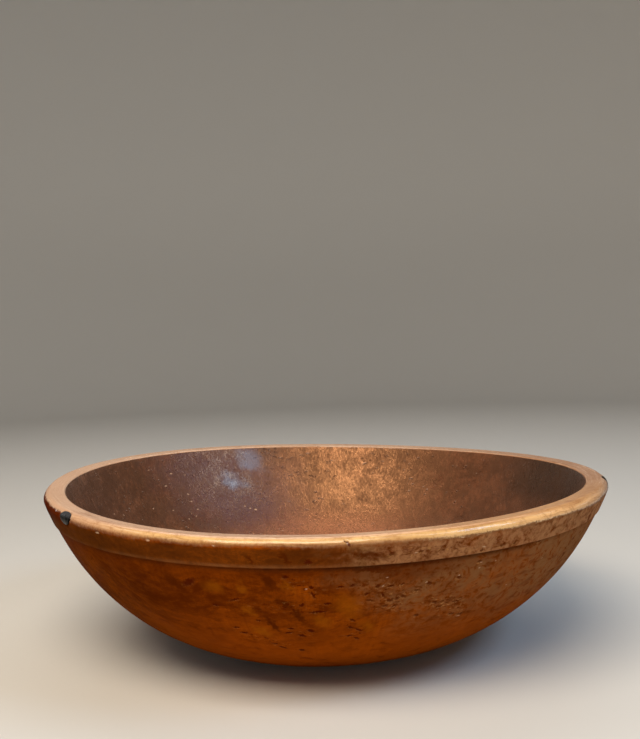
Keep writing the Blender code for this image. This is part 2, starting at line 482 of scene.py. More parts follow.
class BowlPlace:
    """Where a point of the bowl's surface lies.

    It is given in the block, on the drum, on the unrolled map, in degrees right of the front, and in metres
    past the corner's start.
    """

    def __init__(self, wire):
        self.block = wire.node("ShaderNodeTexCoord").outputs["Object"]
        self.drum = wire.node("ShaderNodeAttribute", attribute_name="drum_place").outputs["Vector"]
        self.unrolled = wire.node("ShaderNodeUVMap", uv_map="unrolled").outputs["UV"]
        position = wire.node("ShaderNodeSeparateXYZ", {"Vector": self.unrolled}).outputs
        self.degrees = wire.times(position["X"], 180.0 / math.pi / RIM_RADIUS)
        self.past_corner = position["Y"]


def new_group(name, inputs, outputs):
    """An empty node group with named colour and value sockets, the means to wire it, and its inputs."""
    group = bpy.data.node_groups.new(name, "ShaderNodeTree")
    for in_out, sockets in (("INPUT", inputs), ("OUTPUT", outputs)):
        for socket, kind in sockets.items():
            group.interface.new_socket(socket, in_out=in_out, socket_type="NodeSocket" + kind)
    wire = Wiring(group)
    return group, wire, wire.node("NodeGroupInput").outputs


def new_material(name):
    """A material with an empty Principled shader, and the means to wire it."""
    material = bpy.data.materials.new(name)
    material.use_nodes = True
    return material, Wiring(material.node_tree), material.node_tree.nodes["Principled BSDF"]


# The eyes of the figure are thin spikes that run from left to right through the block: dots where the wall
# # cuts them across, dashes where it cuts them lengthwise. A pale fleck of torn fibre, also a painted glint,
# sits a
# # little above each. The turn comes after the stretching, so it only picks another part of their pattern.
SPIKE_PATTERN_TURN = math.radians(52.0)
GLINT_RISE = 0.0007
PIT_BROWN = (0.024, 0.0042, 0.0008)


def maple_figure():
    """The group that grows bird's-eye maple through the block: its colour with painted glints, its pits and
    fibres.
    """
    inputs = {"Dark": "Color", "Light": "Color", "Glint": "Color", "Eyes": "Float"}
    outputs = {"Color": "Color", "Pits": "Float", "Fibre": "Float"}
    group, wire, given = new_group("maple_figure", inputs, outputs)
    place = wire.node("ShaderNodeTexCoord").outputs["Object"]
    grain = wire.stretch(wire.shake(place, 16.0, 0.035), (1.0, 1.0, 1.0), -GRAIN_DIRECTION)

    # Slow light and dark figure, a finer mottle, and the fibres.
    blotch = wire.cloud(wire.stretch(grain, (13.0, 26.0, 26.0)), 1.0, 3.0, 0.55)
    mottle = wire.cloud(wire.stretch(grain, (80.0, 190.0, 190.0)), 1.0, 4.0, 0.65)
    fibre = wire.cloud(wire.stretch(grain, (90.0, 1300.0, 1300.0)), 1.0, 2.0, 0.5)
    tone = wire.plus(wire.times(blotch, 0.55), wire.times(mottle, 0.45))
    wood = wire.mix(wire.step(tone, 0.34, 0.66), given["Dark"], given["Light"])
    wood = wire.mix(wire.step(fibre, 0.45, 0.75, 0.0, 0.35), wood, given["Dark"])

    # The eyes come in flocks. The same spikes, moved up, give each eye its fleck, a painted glint.
    shaken = wire.shake(place, 120.0, 0.004)
    flock = wire.times(wire.cloud(place, 17.0, 2.0), 1.7)
    pits = []
    for rise in (0.0, GLINT_RISE):
        moved = wire.vector("SUBTRACT", shaken, (0.0, 0.0, rise))
        spike_place = wire.stretch(moved, (85.0, 290.0, 290.0), SPIKE_PATTERN_TURN)
        spikes = wire.node("ShaderNodeTexVoronoi", {"Vector": spike_place, "Scale": 1.0}).outputs
        pick = wire.node("ShaderNodeSeparateColor", {"Color": spikes["Color"]}).outputs[0]
        chosen = wire.step(wire.plus(wire.plus(pick, flock), given["Eyes"]), 1.40, 1.50)
        pits.append(wire.times(wire.step(spikes["Distance"], 0.27, 0.15), chosen))
    pit, raised_pit = pits
    glint = wire.times(raised_pit, wire.minus(1.0, pit))
    wood = wire.mix(wire.times(glint, 0.30), wood, given["Glint"])
    wood = wire.mix(wire.times(pit, 0.75), wood, PIT_BROWN)
    wire.node("NodeGroupOutput", {"Color": wood, "Pits": pit, "Fibre": fibre})
    return group


def old_wax():
    """The group for the wax on every wood here: rubbed to a shine in places, dull and gritty in others."""
    inputs = {"Shine": "Float", "Dull": "Float"}
    group, wire, given = new_group("old_wax", inputs, {"Roughness": "Float", "Grit": "Float"})
    place = wire.node("ShaderNodeTexCoord").outputs["Object"]
    rubbed = wire.step(wire.cloud(place, 38.0, 4.0, 0.62), 0.30, 0.70)
    rough = wire.plus(given["Shine"], wire.times(rubbed, wire.minus(given["Dull"], given["Shine"])))
    grit = wire.cloud(place, 520.0, 3.0, 0.6)
    wire.node("NodeGroupOutput", {"Roughness": rough, "Grit": grit})
    return group


figure = maple_figure()
wax = old_wax()

# A mark's reach is 1 at its edge. Its mask has gone at a reach a little larger, and starts from one that is
# larger than any mark's. A share that is hardly any ties each mark to the one before, and doesn't move it.
MARK_GONE = 1.25
NO_MARK = 9.0
HARDLY_ANY = 1e-9


def marks_mask(wire, grid, marks, ragged=0.0030, soft=0.45, moved=(0.0, 0.0)):
    """A mask of dashes with ragged edges on the unrolled bowl.

    A mark is the pixels of its two ends, and its thickness in millimetres. All of them can be moved along and
    down the wall.
    """
    unrolled = wire.node("ShaderNodeUVMap", uv_map="unrolled").outputs["UV"]
    shaken = wire.vector("SUBTRACT", wire.shake(unrolled, 2.2 / ragged, ragged), (*moved, 0.0))
    least = wire.plus(NO_MARK, wire.node("ShaderNodeSeparateXYZ", {"Vector": shaken}).outputs["Z"])
    for start_x, start_y, end_x, end_y, millimetres in marks:
        start = np.array(photo_place(grid, start_x, start_y)) * (RIM_RADIUS, 1.0)
        end = np.array(photo_place(grid, end_x, end_y)) * (RIM_RADIUS, 1.0)
        middle = (start + end) / 2
        way = end - start
        thickness = millimetres / 1000
        # Each mark waits for the one before it, so that the renderer has to hold only one of them at a time.
        inputs = {0: least, 1: (HARDLY_ANY, HARDLY_ANY, 0.0), 2: shaken}
        waits = wire.node("ShaderNodeVectorMath", inputs, operation="MULTIPLY_ADD")
        inputs = {
            "Vector": waits.outputs[0],
            "Location": (*middle, 0.0),
            "Rotation": (0.0, 0.0, math.atan2(way[1], way[0])),
            "Scale": (np.linalg.norm(way) / 2 + thickness / 4, thickness / 2, 1.0),
        }
        own = wire.node("ShaderNodeMapping", inputs, vector_type="TEXTURE").outputs["Vector"]
        reach = wire.node("ShaderNodeVectorMath", {0: own}, operation="LENGTH").outputs["Value"]
        least = wire.math("MINIMUM", reach, least)
    return wire.step(least, MARK_GONE, soft)


# What the front shows: torn grain and eyes, pale flecks beside some of them and on the rim, painted as
# glints, patches of finer torn grain, soft dark streaks of the figure, and amber painted highlights.
TORN_SPOTS = (
    (537.5, 542.0, 540.5, 540.5, 1.6),
    (474.5, 585.0, 477.5, 583.0, 1.4),
    (184.0, 585.0, 193.0, 579.0, 6.5),
    (229.0, 600.5, 241.0, 598.5, 2.2),
    (213.0, 604.5, 219.0, 605.5, 2.6),
    (233.0, 627.0, 240.0, 627.5, 2.4),
    (240.0, 632.0, 249.0, 633.0, 2.6),
    (256.0, 620.0, 261.0, 620.5, 2.3),
    (283.0, 577.0, 287.0, 577.5, 3.8),
    (300.0, 606.0, 304.0, 604.0, 3.0),
    (308.0, 612.5, 328.0, 611.0, 2.3),
    (324.0, 604.0, 331.0, 603.5, 2.6),
    (309.0, 587.0, 313.0, 588.0, 2.5),
    (311.0, 592.0, 315.0, 598.0, 2.6),
    (287.0, 628.0, 295.0, 629.0, 2.3),
    (285.0, 633.0, 294.0, 632.0, 2.2),
    (308.0, 630.0, 314.0, 631.5, 4.2),
    (299.0, 635.0, 305.0, 636.0, 3.8),
    (300.0, 650.0, 304.0, 650.0, 4.8),
    (271.0, 643.0, 279.0, 644.0, 2.4),
    (279.0, 646.0, 287.0, 648.5, 3.0),
    (305.0, 562.0, 311.0, 562.5, 4.6),
    (344.0, 540.0, 348.5, 543.5, 1.9),
    (348.0, 543.0, 350.0, 546.5, 1.9),
    (350.0, 619.0, 356.0, 621.0, 2.4),
    (348.0, 627.0, 353.0, 627.5, 2.3),
    (355.0, 628.0, 362.0, 631.0, 2.5),
    (346.0, 636.0, 352.0, 635.0, 2.4),
    (354.0, 637.0, 359.0, 638.5, 3.0),
    (350.0, 586.0, 355.0, 584.5, 3.0),
    (376.0, 586.0, 380.0, 586.0, 3.8),
    (427.5, 584.0, 431.0, 583.0, 3.6),
    (457.5, 577.0, 460.5, 577.5, 3.6),
    (382.0, 593.0, 384.0, 597.0, 2.5),
    (387.0, 600.0, 392.0, 600.5, 2.5),
    (401.0, 595.0, 405.0, 597.0, 3.4),
    (366.0, 600.0, 374.0, 600.5, 1.9),
    (432.0, 602.5, 437.0, 601.5, 2.6),
    (414.0, 615.5, 418.0, 614.5, 3.4),
    (448.0, 613.5, 454.0, 613.5, 2.6),
    (457.0, 614.0, 462.0, 613.0, 3.4),
    (389.0, 555.0, 394.0, 552.5, 3.4),
    (419.0, 552.0, 423.0, 550.5, 2.6),
    (480.0, 551.0, 484.0, 548.5, 2.6),
    (500.0, 546.0, 505.0, 544.0, 2.4),
    (513.0, 544.0, 517.0, 541.0, 2.4),
    (478.0, 562.0, 482.0, 560.5, 2.2),
    (337.0, 587.0, 344.0, 586.5, 1.9),
    (389.0, 587.0, 394.0, 585.0, 2.2),
    (400.0, 585.0, 405.0, 583.0, 2.2),
    (414.0, 591.0, 419.0, 589.5, 2.2),
    (364.0, 595.0, 369.0, 593.0, 2.2),
    (395.0, 599.0, 400.0, 597.5, 2.4),
    (381.0, 606.0, 388.0, 605.0, 2.4),
    (392.0, 607.0, 396.0, 605.0, 2.2),
    (452.0, 602.0, 459.0, 600.5, 2.2),
    (458.0, 598.5, 462.0, 597.0, 1.9),
    (438.0, 607.0, 442.0, 605.5, 1.8),
)
GLINT_FLECKS = (
    (382.0, 586.5, 384.0, 585.5, 1.0),
    (425.5, 582.5, 427.5, 581.5, 1.3),
    (458.5, 575.2, 460.0, 575.0, 1.2),
    (305.0, 589.5, 307.0, 588.8, 1.3),
    (386.0, 578.0, 389.0, 577.0, 0.8),
    (456.0, 616.0, 460.0, 615.5, 0.8),
    (415.0, 553.0, 418.0, 552.5, 1.0),
    (482.0, 547.0, 486.0, 546.5, 1.0),
    (95.5, 532.5, 99.0, 533.0, 1.4),
    (145.5, 540.0, 149.0, 541.0, 1.8),
    (212.0, 545.5, 214.0, 546.0, 1.1),
    (461.0, 537.0, 464.0, 537.5, 1.3),
    (480.5, 562.5, 482.5, 562.0, 1.0),
    (495.0, 561.0, 496.5, 560.5, 0.9),
    (505.5, 585.0, 507.0, 584.3, 0.9),
    (541.5, 558.2, 542.5, 557.7, 0.9),
    (478.5, 568.0, 480.0, 567.5, 0.9),
)
TORN_PATCHES = (
    (352.0, 586.0, 420.0, 592.0, 18.0),
    (366.0, 596.0, 404.0, 606.0, 26.0),
    (424.0, 596.0, 464.0, 612.0, 24.0),
    (348.0, 622.0, 358.0, 640.0, 18.0),
    (298.0, 630.0, 314.0, 638.0, 17.0),
    (232.0, 604.0, 332.0, 608.0, 16.0),
    (232.0, 630.0, 300.0, 648.0, 16.0),
    (284.0, 580.0, 320.0, 592.0, 20.0),
    (390.0, 552.0, 490.0, 548.0, 12.0),
)
DARK_STREAKS = (
    (160.0, 570.0, 184.0, 590.0, 13.0),
    (277.0, 599.0, 293.0, 609.0, 9.0),
    (292.0, 607.0, 305.0, 624.0, 8.0),
    (264.0, 615.0, 281.0, 633.0, 6.0),
    (262.0, 575.0, 275.0, 590.0, 9.0),
    (345.0, 569.0, 400.0, 571.0, 5.0),
    (350.0, 553.0, 388.0, 557.0, 8.0),
    (345.0, 541.0, 352.0, 547.0, 3.0),
    (246.0, 555.0, 254.0, 564.0, 4.0),
    (281.0, 553.0, 289.0, 565.0, 5.0),
)
AMBER_HIGHLIGHTS = (
    (206.0, 585.0, 222.0, 589.0, 15.0),
    (236.0, 586.0, 246.0, 590.0, 11.0),
    (240.0, 608.0, 254.0, 612.0, 11.0),
    (254.0, 628.0, 272.0, 634.0, 13.0),
    (284.0, 584.0, 292.0, 590.0, 10.0),
    (340.0, 598.0, 356.0, 614.0, 22.0),
    (316.0, 618.0, 330.0, 626.0, 14.0),
    (362.0, 622.0, 374.0, 630.0, 13.0),
)

# Colours of the wood outside: the patina, a painted sheen of hazed wax, painted highlights, glints and shade,
# torn grain, and the bare wood of the rim.
OUTSIDE_DARK = (0.095, 0.0155, 0.0006)
OUTSIDE_AMBER = (0.290, 0.0580, 0.0018)
OUTSIDE_HAZE_SHEEN = (0.212, 0.0930, 0.0330)
AMBER_HIGHLIGHT = (0.300, 0.0800, 0.0025)
STREAK_BROWN = (0.072, 0.0120, 0.0006)
LEFT_PAINTED_SHADE = (0.46, 0.55, 0.55)
TORN_BROWN = (0.062, 0.0062, 0.0004)
TORN_TAN_HIGHLIGHT = (0.400, 0.190, 0.062)
GLINT_PALE = (0.600, 0.420, 0.270)
BAND_TAN_SHEEN = (0.380, 0.1750, 0.0760)
BAND_BROWN = (0.058, 0.0225, 0.0046)
RIM_TAN = (0.570, 0.348, 0.222)
RIM_GOLD = (0.680, 0.420, 0.175)
RIM_HONEY = (0.800, 0.435, 0.185)
RIM_BROWN = (0.270, 0.100, 0.028)
RIM_DUSK = (0.400, 0.210, 0.115)
RIM_AMBER = (0.400, 0.195, 0.076)
RIM_PALE = (0.780, 0.570, 0.400)

# Stretches of the way round, in degrees right of the front. The first pair is where a look starts and where
# it is full, the second where it has gone again and where it is still full. Some give its least and most too.
HAZE_SHEEN_END = (115.0, 75.0)
FAR_RIGHT_SHEEN = ((24.0, 44.0, 0.0, 0.90), HAZE_SHEEN_END)
RIGHT_FRONT = ((6.0, 26.0), (82.0, 58.0))
HONEY_SIDE = ((-10.0, 45.0), (150.0, 95.0))
DUSK_SIDE = ((42.0, 78.0), (175.0, 120.0))
LEFT_SHADE_SIDE = ((-18.0, -56.0, 0.0, 0.75), (-165.0, -120.0))
FAR_LEFT = ((-52.0, -59.0), (-150.0, -110.0))

# The painted shadow under the band, by the distance past the corner's start, and a turn of the flames'
# pattern, which comes after the stretching and only picks another part of it.
UNDER_BAND_SHADOW = ((UNDER_BAND, UNDER_BAND + 0.0015), (UNDER_BAND + 0.020, UNDER_BAND + 0.003, 0.0, 0.55))
FLAME_PATTERN_TURN = math.radians(52.0)


def hazed_wall(wire, at, wood, fine):
    """Wall and band: sanded wood, old wax, painted sheen and bounce light, painted shade, darker figure."""
    sanded = wire.cloud(wire.stretch(at.drum, (420.0, 420.0, 26.0)), 1.0, 3.0, 0.6)
    wood = wire.mix(wire.step(sanded, 0.40, 0.75, 0.0, 0.35), wood, OUTSIDE_DARK)

    # The haze is a painted sheen. It starts further right lower down, fades out towards the base, and is
    # unbroken
    #     # on the far right.
    blotches = wire.cloud(at.block, 34.0, 5.0, 0.66)
    leaning = wire.minus(at.degrees, wire.times(at.past_corner, 150.0))
    leaning = wire.plus(leaning, wire.times(blotches, 22.0))
    on_right = wire.times(wire.step(leaning, 3.0, 16.0), wire.step(at.degrees, *HAZE_SHEEN_END))
    high = wire.step(wire.plus(at.past_corner, wire.times(blotches, 0.04)), 0.155, 0.085)
    haze_sheen = wire.times(on_right, high, wire.step(blotches, 0.30, 0.70, 0.25, 0.95))
    far_right_sheen = wire.between(at.degrees, *FAR_RIGHT_SHEEN)
    haze_sheen = wire.math("MAXIMUM", haze_sheen, wire.times(far_right_sheen, high))
    wood = wire.mix(wire.times(haze_sheen, wire.step(fine, 0.36, 0.58, 0.30, 1.0)), wood, OUTSIDE_HAZE_SHEEN)
    wood = wire.mix(wire.step(fine, 0.48, 0.34, 0.0, 0.50), wood, OUTSIDE_DARK)
    # Lower down the wall turns amber: painted warm light bounced up from below.
    low = wire.plus(at.past_corner, wire.times(blotches, 0.05))
    wood = wire.mix(wire.step(low, 0.085, 0.150, 0.0, 0.62), wood, OUTSIDE_AMBER)
    # The left side is darkened: painted shade.
    wood = wire.mix(wire.between(at.degrees, *LEFT_SHADE_SIDE), wood, LEFT_PAINTED_SHADE, "MULTIPLY")

    # Dark flames of figure run along the front and fade out towards the back.
    flame_place = wire.stretch(wire.shake(at.unrolled, 28.0, 0.03), (42.0, 130.0, 1.0), FLAME_PATTERN_TURN)
    flame = wire.step(wire.cloud(flame_place, 1.0, 4.0, 0.6), 0.52, 0.70, 0.0, 0.55)
    flame = wire.times(flame, wire.step(wire.math("ABSOLUTE", at.degrees), 150.0, 60.0))
    wood = wire.mix(flame, wood, OUTSIDE_DARK)

    # On the band the painted sheen is paler and breaks up into spots, and left of the middle the band is
    # browner.
    spotted = wire.cloud(wire.shake(at.block, 90.0, 0.012), 190.0, 5.0, 0.68)
    reach = wire.plus(at.degrees, wire.times(spotted, 16.0))
    band_sheen = wire.times(wire.step(reach, 8.0, 22.0), wire.step(at.degrees, *HAZE_SHEEN_END))
    band_sheen = wire.times(band_sheen, wire.mask("band"), wire.step(spotted, 0.28, 0.72))
    wood = wire.mix(wire.times(band_sheen, 0.85), wood, BAND_TAN_SHEEN)
    shaded = wire.times(wire.mask("band"), wire.step(spotted, 0.52, 0.30, 0.0, 0.55))
    wood = wire.mix(shaded, wood, OUTSIDE_DARK)
    browned = wire.times(wire.mask("band"), wire.step(at.degrees, 14.0, -8.0, 0.0, 0.45))
    wood = wire.mix(browned, wood, BAND_BROWN)

    # The wall just under the band is darker: a painted shadow of the band.
    under = wire.between(at.past_corner, *UNDER_BAND_SHADOW)
    under = wire.times(under, wire.step(at.degrees, 45.0, 10.0), wire.step(blotches, 0.25, 0.60, 0.6, 1.0))
    return wire.mix(under, wood, OUTSIDE_DARK)


def torn_front(wire, at, wood):
    """The wall with the front's softer marks, and masks of its spots, its painted glints and its torn flakes.
    """
    streaks = marks_mask(wire, OUTSIDE_SEEN, DARK_STREAKS, 0.008, 0.25)
    spots = marks_mask(wire, OUTSIDE_SEEN, TORN_SPOTS)
    glint_flecks = marks_mask(wire, OUTSIDE_SEEN, GLINT_FLECKS, 0.0016)
    # The amber patches are painted highlights.
    amber_highlights = marks_mask(wire, OUTSIDE_SEEN, AMBER_HIGHLIGHTS, 0.014, 0.0)
    wood = wire.mix(wire.times(amber_highlights, 0.55), wood, AMBER_HIGHLIGHT)
    wood = wire.mix(wire.times(streaks, 0.85), wood, STREAK_BROWN)

    # Around the larger spots the grain is torn all over in small flakes, with pale lifted fibre beside them,
    # which
    #     # is also a painted highlight.
    patches = marks_mask(wire, OUTSIDE_SEEN, TORN_PATCHES, 0.012, 0.30)
    flake_place = wire.stretch(wire.shake(at.unrolled, 400.0, 0.0022), (230.0, 430.0, 1.0))
    flakes = wire.cloud(flake_place, 1.0, 3.0, 0.62)
    torn_flakes = wire.times(wire.step(flakes, 0.55, 0.66), patches)
    beside = marks_mask(wire, OUTSIDE_SEEN, TORN_SPOTS, 0.0040, 0.30, (-0.0007, 0.0009))
    beside = wire.times(beside, wire.step(flakes, 0.36, 0.56))
    lifted_and_highlit = wire.math("MAXIMUM", wire.times(wire.step(flakes, 0.42, 0.33), patches), beside)
    lifted_and_highlit = wire.times(lifted_and_highlit, wire.step(at.degrees, 5.0, 15.0, 0.20, 0.75))
    wood = wire.mix(lifted_and_highlit, wood, TORN_TAN_HIGHLIGHT)
    wood = wire.mix(wire.times(torn_flakes, 0.72), wood, TORN_BROWN)
    return wood, spots, glint_flecks, torn_flakes


def worn_rim(wire, at, wood, fine, patchy):
    """The wood with the rim worn bare, and a mask of the bare wood."""
    # It is bare down to a speckled, soft line on the round corner, except at the far left, and the line is
    # crisper at the right of the front.
    speckle = wire.cloud(at.block, 420.0, 4.0, 0.70)
    shift = wire.times(wire.minus(wire.plus(speckle, patchy), 1.0), 0.85)
    far_left = wire.between(at.degrees, *FAR_LEFT)
    shift = wire.times(shift, wire.step(wire.mask("corner"), 0.0, 0.25, 0.30, 1.0))
    right_front = wire.between(at.degrees, *RIGHT_FRONT)
    line_starts = wire.step(right_front, 0.0, 1.0, 0.12, 0.08)
    line_ends = wire.step(right_front, 0.0, 1.0, 0.88, 0.42)
    worn = wire.step(wire.plus(wire.mask("bare"), shift), line_starts, line_ends)
    worn = wire.times(worn, wire.step(wire.mask("bare"), 0.0, 0.12))
    kept = wire.times(far_left, wire.step(wire.plus(wire.mask("corner"), shift), 0.30, 0.62))
    worn = wire.times(worn, wire.minus(1.0, kept))

    # The bare wood is tan on the left, gold on the front's corner, where the gold is partly a painted
    # highlight,
    #     # and honey and then dusky on the right.
    streak = wire.cloud(wire.stretch(wire.shake(at.drum, 60.0, 0.004), (24.0, 24.0, 820.0)), 1.0, 4.0, 0.65)
    bare = wire.mix(wire.between(at.degrees, *HONEY_SIDE), RIM_TAN, RIM_HONEY)
    gold_and_highlight = wire.times(wire.step(wire.mask("corner"), 0.02, 0.35), wire.minus(1.0, far_left))
    gold_and_highlight = wire.times(gold_and_highlight, wire.step(wire.math("ABSOLUTE", at.degrees), 50.0, 24.0, 0.15, 1.0))
    bare = wire.mix(gold_and_highlight, bare, RIM_GOLD)
    bare = wire.mix(wire.between(at.degrees, *DUSK_SIDE), bare, RIM_DUSK)

    # It is streaked, browned down the corner, amber on top at the right, and least dirty at the far left.
    bare = wire.mix(wire.step(streak, 0.48, 0.32, 0.0, 0.45), bare, RIM_PALE)
    dirt_and_shadow = wire.minus(1.0, wire.times(far_left, 0.75))
    bare = wire.mix(wire.times(dirt_and_shadow, wire.step(streak, 0.52, 0.68, 0.0, 0.55)), bare, RIM_BROWN)
    browned = wire.step(wire.mask("corner"), 0.40, 1.00, 0.0, 0.75)
    browned = wire.times(browned, wire.step(right_front, 0.0, 1.0, 1.0, 0.20))
    bare = wire.mix(browned, bare, RIM_BROWN)
    on_top = wire.times(right_front, wire.step(wire.mask("corner"), 0.55, 0.12, 0.0, 0.72))
    bare = wire.mix(on_top, bare, RIM_AMBER)
    for dirt, low, high, most in (
        (patchy, 0.48, 0.74, 0.50),
        (fine, 0.48, 0.70, 0.40),
        (speckle, 0.55, 0.75, 0.40),
    ):
        bare = wire.mix(wire.times(dirt_and_shadow, wire.step(dirt, low, high, 0.0, most)), bare, RIM_BROWN)

    edge_dirt = wire.times(worn, wire.minus(1.0, worn))
    kept = wire.times(kept, wire.step(at.past_corner, 0.018, 0.009, 0.0, 0.75))
    wood = wire.mix(kept, wood, TORN_BROWN)
    wood = wire.mix(worn, wood, bare)
    wood = wire.mix(wire.times(edge_dirt, wire.step(at.degrees, 0.0, 40.0, 0.8, 1.7)), wood, PIT_BROWN)
    return wood, worn


def band_edge(wire, at, wood, patchy):
    """The wood with the band's lower edge rubbed pale under a painted highlight, and painted shadow in the
    cove.
    """
    from_front = wire.math("ABSOLUTE", at.degrees)
    behind = wire.step(from_front, 64.0, 90.0)
    # The pale ridge is rubbed wood with a painted highlight.
    ridge = wire.times(wire.mask("ridge"), wire.step(patchy, 0.30, 0.60, 0.02, 0.10))
    ridge = wire.times(ridge, wire.step(at.degrees, -8.0, 12.0, 1.0, 0.35))
    ridge = wire.times(ridge, wire.plus(wire.step(from_front, 46.0, 16.0, 0.40, 1.0), behind))
    wood = wire.mix(ridge, wood, RIM_HONEY)
    # The cove under the band's edge is darkened with painted shadow.
    dirt_and_shadow = wire.times(wire.mask("cove"), wire.step(at.degrees, -50.0, 5.0, 0.35, 0.85))
    dirt_and_shadow = wire.times(dirt_and_shadow, wire.plus(wire.step(from_front, 66.0, 42.0, 0.25, 1.0), behind))
    dirt_and_shadow = wire.times(dirt_and_shadow, wire.step(at.degrees, 30.0, 48.0, 1.0, 0.40))
    return wire.mix(dirt_and_shadow, wood, PIT_BROWN)


def outside_maple():
    """The outside and the rim: amber patina under old wax, a painted sheen on the right, worn bare over the
    rim.
    """
    material, wire, shader = new_material("outside_maple")
    at = BowlPlace(wire)
    inputs = {
        "Dark": (*OUTSIDE_DARK, 1.0),
        "Light": (*OUTSIDE_AMBER, 1.0),
        "Glint": (*TORN_TAN_HIGHLIGHT, 1.0),
        "Eyes": wire.step(wire.math("ABSOLUTE", wire.plus(at.degrees, 30.0)), 50.0, 95.0, -0.60, 0.0),
    }
    maple = wire.node("ShaderNodeGroup", inputs, node_tree=figure).outputs
    film = wire.node("ShaderNodeGroup", {"Shine": 0.58, "Dull": 0.78}, node_tree=wax).outputs
    fine = wire.cloud(wire.shake(at.block, 60.0, 0.02), 190.0, 5.0, 0.68)
    patchy = wire.cloud(wire.stretch(at.drum, (38.0, 38.0, 160.0)), 1.0, 4.0, 0.62)
    wood = hazed_wall(wire, at, maple["Color"], fine)
    wood, spots, glint_flecks, torn_flakes = torn_front(wire, at, wood)
    wood, worn = worn_rim(wire, at, wood, fine, patchy)
    wood = band_edge(wire, at, wood, patchy)
    wood = wire.mix(wire.times(spots, wire.step(at.degrees, -2.0, 12.0, 0.92, 0.78)), wood, TORN_BROWN)
    # The pale flecks are painted glints.
    wood = wire.mix(wire.times(glint_flecks, 0.50), wood, GLINT_PALE)

    torn = wire.math("MAXIMUM", maple["Pits"], wire.math("MAXIMUM", spots, torn_flakes))
    relief = wire.minus(wire.times(film["Grit"], 0.16), maple["Pits"])
    relief = wire.plus(relief, wire.times(maple["Fibre"], 0.10))
    bump = wire.node("ShaderNodeBump", {"Strength": 0.60, "Distance": 0.0008, "Height": relief})
    wire.feed(shader, {
        "Base Color": wood,
        "Roughness": wire.minus(film["Roughness"], wire.times(torn, 0.12)),
        "Coat Weight": wire.times(worn, 0.80),
        "Coat Roughness": 0.16,
        "Specular IOR Level": 0.004,
        "Specular Tint": (1.0, 0.62, 0.32, 1.0),
        "Normal": bump.outputs["Normal"],
    })
    return material


# Where the wax inside has been polished, with a bluish painted sheen, where it has a bluish painted haze, and
# # where the wood is nicked, with a painted glint.
POLISHED_SHEEN_SPOTS = (
    (240.0, 456.0, 262.0, 462.0, 26.0),
    (222.0, 479.0, 246.0, 483.0, 20.0),
)
PAINTED_HAZE_SPOTS = (
    (160.0, 470.0, 290.0, 475.0, 90.0),
    (180.0, 498.0, 300.0, 505.0, 90.0),
)
INSIDE_NICKS = (
    (148.0, 470.0, 149.5, 470.0, 1.0),
    (170.0, 473.5, 172.5, 473.5, 1.6),
    (165.0, 486.0, 167.0, 486.0, 1.4),
    (184.5, 475.0, 186.0, 475.0, 1.0),
    (187.0, 494.0, 189.0, 494.5, 1.4),
    (190.5, 501.0, 192.0, 501.5, 1.2),
    (197.0, 509.0, 198.5, 509.5, 1.4),
    (195.5, 516.0, 197.0, 516.0, 1.2),
    (172.5, 510.0, 174.0, 510.5, 1.2),
    (153.0, 509.0, 154.0, 508.0, 1.2),
    (123.0, 514.5, 124.5, 515.5, 1.4),
    (113.5, 514.0, 115.0, 514.0, 1.2),
    (97.5, 505.5, 98.5, 506.0, 1.0),
    (244.0, 505.5, 246.0, 506.5, 1.4),
    (249.5, 508.0, 251.0, 508.5, 1.4),
    (254.5, 509.5, 257.0, 509.5, 2.0),
    (188.5, 519.0, 190.0, 519.0, 1.2),
)

# Colours of the wood inside, with painted glow, sheen, haze, glints and shade. The glow is painted in a
# stretch
# # across the bowl, in metres right of the middle, and the shade in a stretch of the way round, in degrees
# right of
# # the front.
INSIDE_DARK = (0.060, 0.0230, 0.0115)
INSIDE_COPPER = (0.190, 0.0740, 0.0365)
INSIDE_PAINTED_GLINT = (1.0, 0.8, 0.65)
INSIDE_PAINTED_HAZE = (0.084, 0.041, 0.060)
INSIDE_PAINTED_SHEEN = (0.058, 0.046, 0.080)
INSIDE_PAINTED_SHADE = (0.018, 0.0072, 0.0030)
INSIDE_PAINTED_GLOW = (0.480, 0.1900, 0.0960)
NICK_GLINT = (0.620, 0.400, 0.270)
GLOW_ACROSS = ((0.095, 0.035), (-0.140, -0.030))
SHADED_RIGHT_END = ((55.0, 90.0, 0.0, 0.90), (132.0, 108.0))


